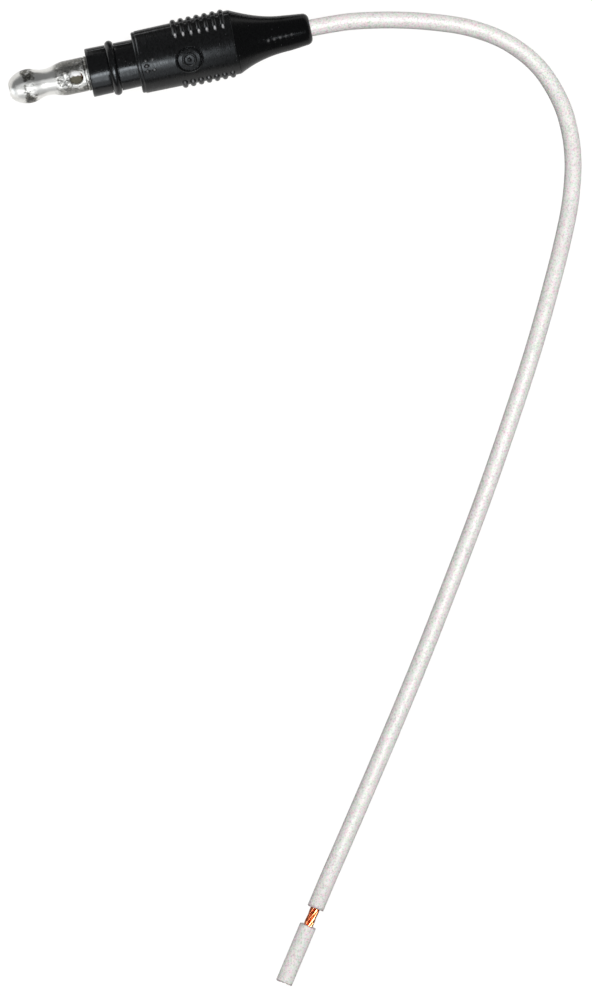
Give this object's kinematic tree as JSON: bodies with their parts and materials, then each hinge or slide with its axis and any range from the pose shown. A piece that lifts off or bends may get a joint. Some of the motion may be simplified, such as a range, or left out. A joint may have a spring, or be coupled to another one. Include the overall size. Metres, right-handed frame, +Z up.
{
  "type": "flame sensing lead with plug",
  "caption": "Flame sensing lead: a black moulded plug with a tubular bullet contact, sealing ring and tapered boot, on a white high-temperature lead with a part-stripped end.",
  "frame": {"origin": "on the surface the plug lies on, under the middle of the plug's length (the lead is left out of that box)", "axes": "+X from the contact's nose along the plug to the lead's exit, +Z up from the surface the plug lies on"},
  "size_m": [0.1041, 0.1844, 0.0123],
  "materials": {
    "nickel_plate": "bright nickel plate over brass, lightly mottled",
    "collar_plastic": "glossy black moulding",
    "ring_rubber": "smooth black seal",
    "washer_steel": "plain steel",
    "grip_plastic": "glossy black moulding",
    "ferrule_brass": "plain brass",
    "boot_rubber": "glossy black flexible moulding",
    "lead_silicone": "white silicone, slightly speckled",
    "copper": "bare drawn copper strands"
  },
  "bodies": {
    "plug_and_lead": {"contact_pin": "nickel_plate", "front_collar": "collar_plastic", "sealing_ring": "ring_rubber", "retaining_washer": "washer_steel", "grip_shell": "grip_plastic", "lead_ferrule": "ferrule_brass", "tail_boot": "boot_rubber", "lead_insulation": "lead_silicone", "conductor": "copper", "strand_core": "copper", "strand_1": "copper", "strand_2": "copper", "strand_3": "copper", "strand_4": "copper", "strand_5": "copper", "strand_6": "copper"},
    "loose_slug": {"insulation_slug": "lead_silicone"}
  },
  "joints": [
    {"name": "slug_pull", "type": "slide", "parent": "plug_and_lead", "child": "loose_slug", "axis": [-0.5736, -0.8192, 0], "range_m": [-0.0033, 0.0095]}
  ]
}
